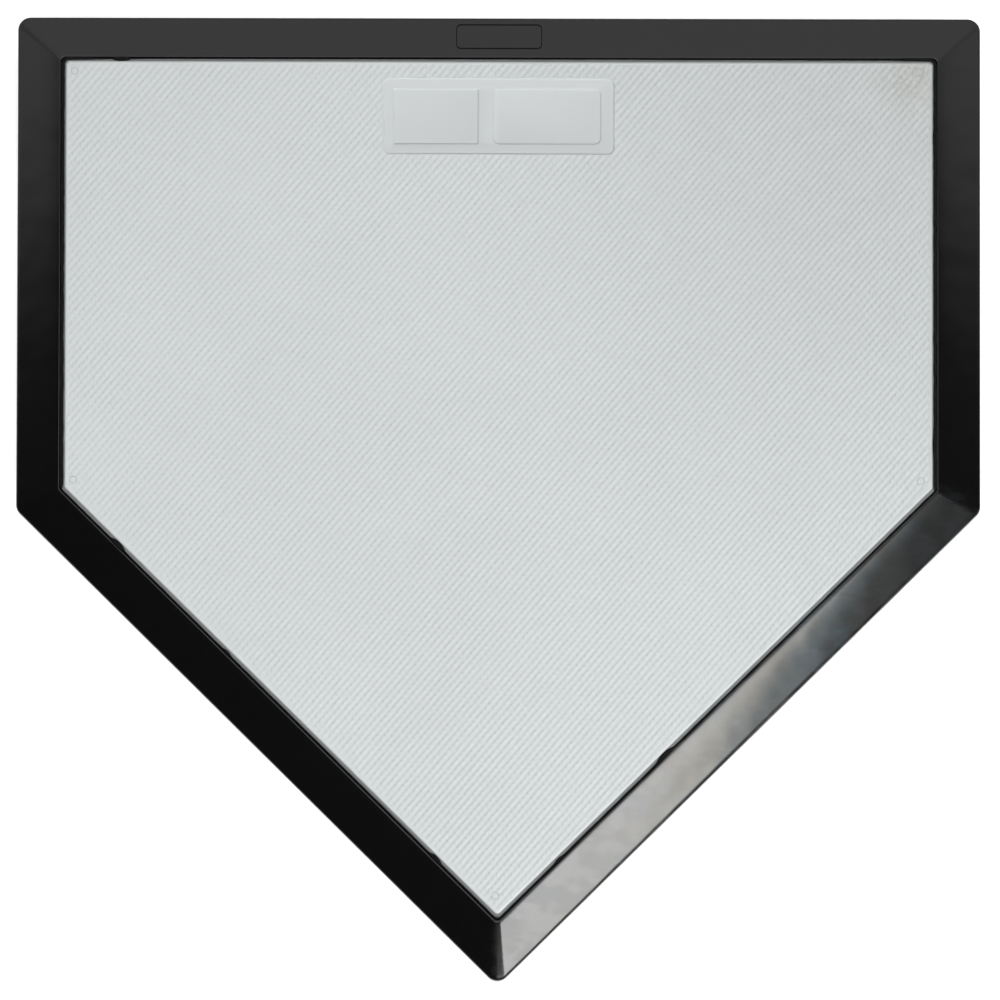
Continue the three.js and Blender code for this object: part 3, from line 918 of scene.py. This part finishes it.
flash = {
    "offset": 1.3, "base": 60.0, "climb": 1.1, "pitch": 1.3, "corner": 2.4, "cornerSteps": 8,
    "cover": {"left": 1.0, "right": 1.0, "left_slant": 0.36, "right_slant": 0.36},
    "frontRun": (-216.0, -192.0, -150.0, 0.0, 90.0, 190.0, 216.0),  # across the front, and the cover there
    "frontCover": (0.95, 0.6, 0.4, 0.38, 0.55, 0.65, 0.95),
    "sharpness": 4.0,  # of the change from wall to wall
    # middle of each lump in the plane, its length and how much it adds
    "lumps": (
        (-188.2, 224.0, 4.4, 1.0), (-187.7, -24.0, 7.5, 0.95), (-30.0, -183.0, 7.5, 0.95),
        (81.8, -130.0, 10.5, 1.05), (-134.0, -79.0, 6.0, 0.5), (29.7, -183.0, 7.0, 0.5),
        (217.3, 181.0, 9.0, 0.3), (217.3, 26.0, 9.0, 0.35),
    ),
    "ripple": 1.2, "rippleScale": 160.0, "seed": 3, "sides": 10,
}


def walkLine(line, pitch):
    # evenly spaced points round a closed line
    closed = np.vstack([line, line[:1]])
    run = np.concatenate([[0], np.cumsum(np.linalg.norm(np.diff(closed, axis=0), axis=1))])
    stops = np.linspace(0, run[-1], int(run[-1] / pitch), endpoint=False)
    return np.column_stack([np.interp(stops, run, closed[:, axis]) for axis in (0, 1)])


def makeFlashTree():
    tree, feed = newTree("seam flash", {
        "Seam": "Geometry", "Ripple": "Float", "Ripple Scale": "Float", "Seed": "Float", "Sides": "Int",
        "Material": "Material"})
    line = addOut(tree, "GeometryNodeMeshToCurve", {"Mesh": feed["Seam"]})
    cover = addOut(tree, "GeometryNodeInputNamedAttribute", {"Name": "cover"}, data_type="FLOAT")
    noise = addNode(tree, "ShaderNodeTexNoise", {
        "W": feed["Seed"], "Scale": feed["Ripple Scale"], "Detail": 3.0,
    }, noise_dimensions="4D").outputs["Fac"]
    uneven = addMath(tree, "MULTIPLY", addMath(tree, "SUBTRACT", noise, 0.5), feed["Ripple"])
    swell = addMath(tree, "MULTIPLY", cover, addMath(tree, "ADD", 1.0, uneven))
    ring = addOut(tree, "GeometryNodeCurvePrimitiveCircle", {"Resolution": feed["Sides"], "Radius": 1.0})
    bead = addOut(tree, "GeometryNodeCurveToMesh", {"Curve": line, "Profile Curve": ring, "Scale": swell})
    smooth = addOut(tree, "GeometryNodeSetShadeSmooth", {"Geometry": bead})
    endTree(tree, smooth, feed["Material"])
    return tree


def makeFlash():
    line = walkLine(outline(flash["offset"], flash["corner"], flash["cornerSteps"]), flash["pitch"])
    reach = wallReach(line)
    share = np.exp(flash["sharpness"] * (reach - reach.max(axis=0)))
    front = np.interp(line[:, 0], flash["frontRun"], flash["frontCover"])
    covers = np.array([front] + [np.full(len(line), flash["cover"][wall]) for wall in plate["walls"][1:]])
    cover = (share * covers).sum(axis=0) / share.sum(axis=0)
    for x, y, length, swell in flash["lumps"]:
        away = np.linalg.norm(line - (x, y), axis=1)
        cover += swell * np.exp(-2 * ((away - away.min()) / (length / 2)) ** 2)
    piece = newPiece("seam_flash", np.column_stack([line, flash["base"] + flash["climb"] * cover]), [])
    starts = np.arange(len(line))
    piece.data.edges.add(len(line))
    piece.data.edges.foreach_set("vertices", np.column_stack([starts, np.roll(starts, -1)]).ravel())
    writeValues(piece.data, "cover", cover * mm)
    return growBy(piece, makeFlashTree(), {
        "Ripple": flash["ripple"], "Ripple Scale": flash["rippleScale"], "Seed": float(flash["seed"]),
        "Sides": flash["sides"], "Material": seamRubber})


flashPiece = makeFlash()
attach(flashPiece, "root")
print("seam flash:", len(flashPiece.data.polygons), "faces")

# Boards keep their solids and get wood
for number in range(1, 6):
    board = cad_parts[f"core_board_{number}"]
    board.data.materials.clear()
    board.data.materials.append(makePine(pineLook, number))
print("boards finished")


# Stage, in metres: floor, soft lamps and camera

stage = {
    "floorSize": 120.0, "floorLevel": -0.0004, "floorColour": (0.86, 0.86, 0.86), "floorGlow": 0.74,
    "sky": (0.03, 0.03, 0.032), "horizon": (0.06, 0.22),
    "lens": 1300.0, "sensor": 36.0, "clipEnd": 500.0,
    "distance": 17.974, "elevation": 79.46, "roll": 0.116, "aim": (0.0009, -0.00165, 0.057),
}
lamps = {
    "key": {
        "at": (0.569, -0.473, 1.06), "size": (0.55, 0.53), "turn": 2.0, "radiance": 9.9, "isLighting": False,
        "edges": (("Y", 0.0, 0.12), ("Y", 1.1, 0.5)),
        "ramp": ((0.0, (0.12, 0.12, 0.12)), (0.12, (0.17, 0.17, 0.17)), (0.21, (0.78, 0.78, 0.78)),
                 (0.3, (1, 1, 1)), (0.58, (1, 1, 0.98)), (0.665, (0.97, 0.92, 0.80)),
                 (0.70, (0.39, 0.40, 0.39)), (0.75, (0.18, 0.245, 0.27)), (0.84, (0, 0, 0))),
    },
    "spill": {
        "at": (0.2, -0.75, 1.06), "size": (0.6, 0.34), "radiance": 2.2, "isLighting": False,
        "edges": (("X", 0.05, 0.3), ("Y", 0.0, 0.3), ("Y", 1.0, 0.7)),
    },
    "rake": {"at": (2.0, -3.4, 3.3), "size": (0.8, 0.8), "radiance": 63.0, "tilt": True,
             "isMirrored": False},
    "front": {
        "at": (0.0, 1.15, 1.06), "size": (3.6, 1.7), "radiance": 0.64, "isLighting": False,
        "edges": (("Y", 0.0, 0.13),),
        "ramp": ((0.20, (1, 1, 1)), (0.25, (0.6, 0.6, 0.6)), (0.30, (1, 1, 1)),
                 (0.70, (1, 1, 1)), (0.75, (0.7, 0.7, 0.7)), (0.80, (1, 1, 1))),
    },
    "overhead": {"at": (0.0, 0.1, 2.2), "size": (0.9, 0.9), "radiance": 1.45, "isLighting": False},
    "fill": {"at": (0.0, -0.4, 2.4), "size": (2.4, 2.4), "radiance": 2.62, "isMirrored": False},
}


def addSeen(tree, mirrorShare):
    # one for what the camera sees, itself or in a mirror, and none for what lights the part
    rays = addNode(tree, "ShaderNodeLightPath").outputs
    mirrored = addMath(tree, "MAXIMUM", rays["Is Glossy Ray"], rays["Is Transmission Ray"])
    mirrored = addMath(tree, "MULTIPLY", mirrorShare, mirrored)
    return addMath(tree, "MAXIMUM", rays["Is Camera Ray"], mirrored)


def makeFloor():
    corners = np.array([(-1, -1), (1, -1), (1, 1), (-1, 1)]) * stage["floorSize"] / 2
    floor = newPiece("floor", atHeight(corners, stage["floorLevel"]) / mm, [(0, 1, 2, 3)])
    material, tree, shader, _ = newMaterial("pale floor")
    tree.nodes.remove(shader)
    matt = addOut(tree, "ShaderNodeBsdfDiffuse", {"Color": (*stage["floorColour"], 1.0)})
    strength = addMath(tree, "MULTIPLY", addSeen(tree, 1.0), stage["floorGlow"])
    glow = addOut(tree, "ShaderNodeEmission", {"Strength": strength})
    both = addOut(tree, "ShaderNodeAddShader", {0: matt, 1: glow})
    setInputs(tree, tree.nodes["Material Output"], {"Surface": both})
    floor.data.materials.append(material)


def makeSky():
    world = bpy.data.worlds.new("studio")
    world.use_nodes = True
    scene.world = world
    tree = world.node_tree
    view = addNode(tree, "ShaderNodeTexCoord").outputs["Generated"]
    height = addNode(tree, "ShaderNodeSeparateXYZ", {0: view}).outputs["Z"]
    seen = addSeen(tree, addRange(tree, height, *stage["horizon"], 1.0, 0.0))
    colour = addMix(tree, seen, stage["sky"], (1.0, 1.0, 1.0))
    setInputs(tree, tree.nodes["Background"], {"Color": colour})


def makeLamp(name, at, size, radiance, turn=0.0, tilt=False, edges=(), ramp=(), isMirrored=True,
             isLighting=True):
    lamp = bpy.data.lights.new(name, "AREA")
    lamp.shape, lamp.size, lamp.size_y = "RECTANGLE", *size
    lamp.energy = radiance * size[0] * size[1] * math.pi
    if edges:
        fadeLamp(lamp, edges, ramp)
    holder = bpy.data.objects.new(name, lamp)
    holder.location = at
    aimed = Vector(at).to_track_quat("Z", "Y").to_euler()
    holder.rotation_euler = aimed if tilt else (0, 0, math.radians(turn))
    holder.visible_camera = False
    holder.visible_glossy = isMirrored
    holder.visible_diffuse = isLighting
    scene.collection.objects.link(holder)


def fadeLamp(lamp, edges, ramp):
    # the cloth of a soft box is dimmer towards its edges; places are shares of its width and length
    lamp.use_nodes = True
    tree = lamp.node_tree
    place = addNode(tree, "ShaderNodeNewGeometry").outputs["Parametric"]
    spot = addNode(tree, "ShaderNodeSeparateXYZ", {0: place}).outputs
    glow = 1.0
    for axis, dark, full in edges:
        glow = addMath(tree, "MULTIPLY", glow, addRange(tree, spot[axis], dark, full))
    feeds = {"Strength": glow}
    if ramp:
        across = addNode(tree, "ShaderNodeValToRGB", {"Fac": spot["X"]})
        across.color_ramp.interpolation = "EASE"
        stops = across.color_ramp.elements
        stops.remove(stops[1])
        for stop, colour in ramp[1:]:
            stops.new(stop).color = (*colour, 1.0)
        stops[0].position, stops[0].color = ramp[0][0], (*ramp[0][1], 1.0)
        feeds["Color"] = across.outputs["Color"]
    setInputs(tree, tree.nodes["Emission"], feeds)


def makeCamera():
    camera = bpy.data.cameras.new("camera")
    camera.lens, camera.sensor_width, camera.clip_end = stage["lens"], stage["sensor"], stage["clipEnd"]
    holder = bpy.data.objects.new("camera", camera)
    tilt = math.radians(stage["elevation"])
    back = Vector((0.0, -math.cos(tilt), math.sin(tilt)))
    holder.location = Vector(stage["aim"]) + back * stage["distance"]
    roll = Quaternion((0.0, 0.0, 1.0), math.radians(stage["roll"]))
    holder.rotation_euler = (back.to_track_quat("Z", "Y") @ roll).to_euler()
    scene.collection.objects.link(holder)
    scene.camera = holder


makeFloor()
makeSky()
for name, lamp in lamps.items():
    makeLamp(name, **lamp)
makeCamera()
scene.view_settings.view_transform = "Standard"
print("stage set")
